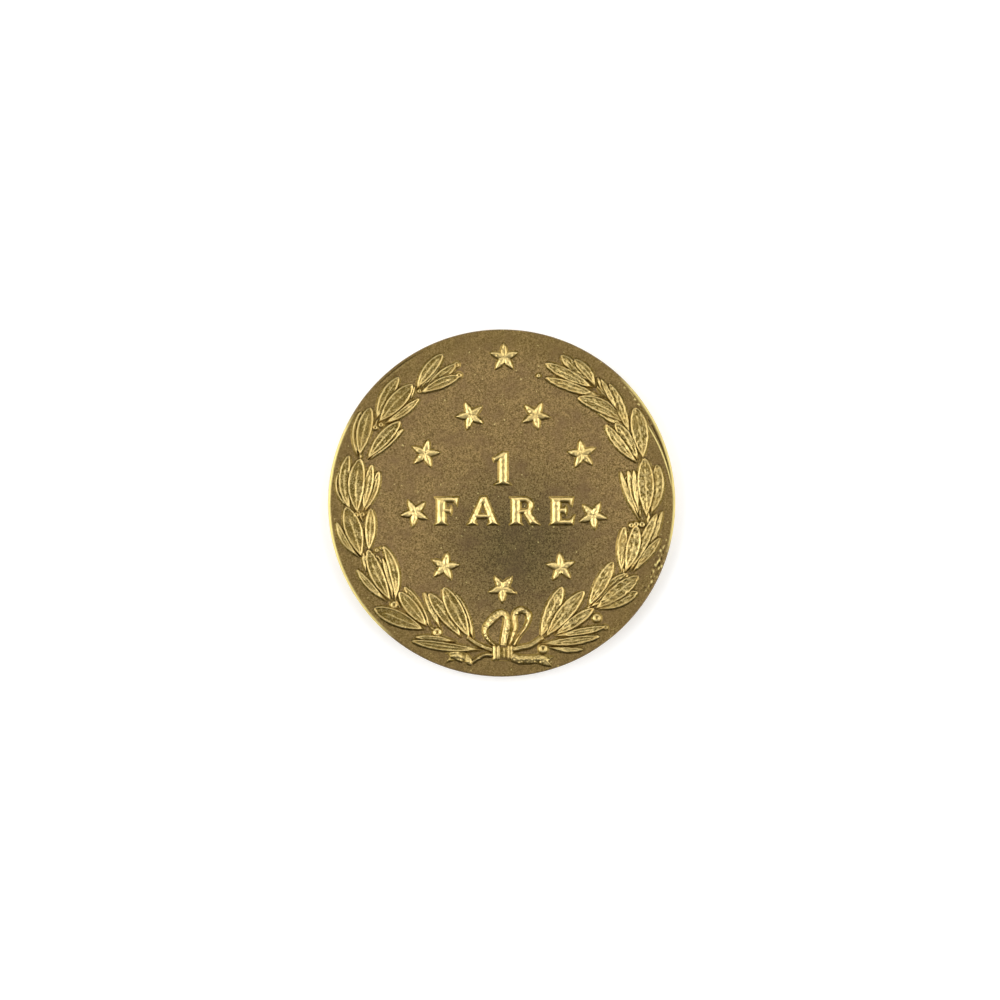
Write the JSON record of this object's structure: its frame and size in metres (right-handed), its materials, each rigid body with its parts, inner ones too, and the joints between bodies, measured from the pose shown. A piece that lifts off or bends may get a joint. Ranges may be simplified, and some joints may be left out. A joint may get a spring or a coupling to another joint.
{
  "type": "transit token",
  "caption": "Round struck brass fare token with a laurel wreath, stars and a short inscription on the obverse and a raised rim on the reverse.",
  "frame": {"origin": "centre of the token's disc, in the plane of the reverse rim that it rests on", "axes": "+Z out of the obverse, through the thickness; +Y towards the top of the obverse design; +X to the reader's right"},
  "size_m": [0.023, 0.023, 0.0016],
  "materials": {
    "brass_field": "worn, olive-brown tarnish with fine grain",
    "brass_relief": "worn bright on slopes and high points",
    "brass_reverse": "worn, lightly tarnished"
  },
  "bodies": {
    "root": {"flan": "brass_field", "left_stem": "brass_relief", "right_stem": "brass_relief", "left_berries": "brass_relief", "right_berries": "brass_relief", "left_spray_1": "brass_relief", "left_spray_2": "brass_relief", "left_spray_3": "brass_relief", "left_spray_4": "brass_relief", "left_spray_5": "brass_relief", "left_spray_6": "brass_relief", "left_spray_7": "brass_relief", "left_spray_8": "brass_relief", "right_spray_1": "brass_relief", "right_spray_2": "brass_relief", "right_spray_3": "brass_relief", "right_spray_4": "brass_relief", "right_spray_5": "brass_relief", "right_spray_6": "brass_relief", "right_spray_7": "brass_relief", "ribbon_knot": "brass_relief", "ribbon_loop_left": "brass_relief", "ribbon_loop_right": "brass_relief", "ribbon_tail_left": "brass_relief", "ribbon_tail_right": "brass_relief", "star_1": "brass_relief", "star_2": "brass_relief", "star_3": "brass_relief", "star_4": "brass_relief", "star_5": "brass_relief", "star_6": "brass_relief", "star_7": "brass_relief", "star_8": "brass_relief", "star_9": "brass_relief", "star_10": "brass_relief", "numeral_1": "brass_relief", "letter_f": "brass_relief", "letter_a": "brass_relief", "letter_r": "brass_relief", "letter_e": "brass_relief", "reverse_beads": "brass_reverse", "reverse_star": "brass_reverse"}
  },
  "joints": []
}
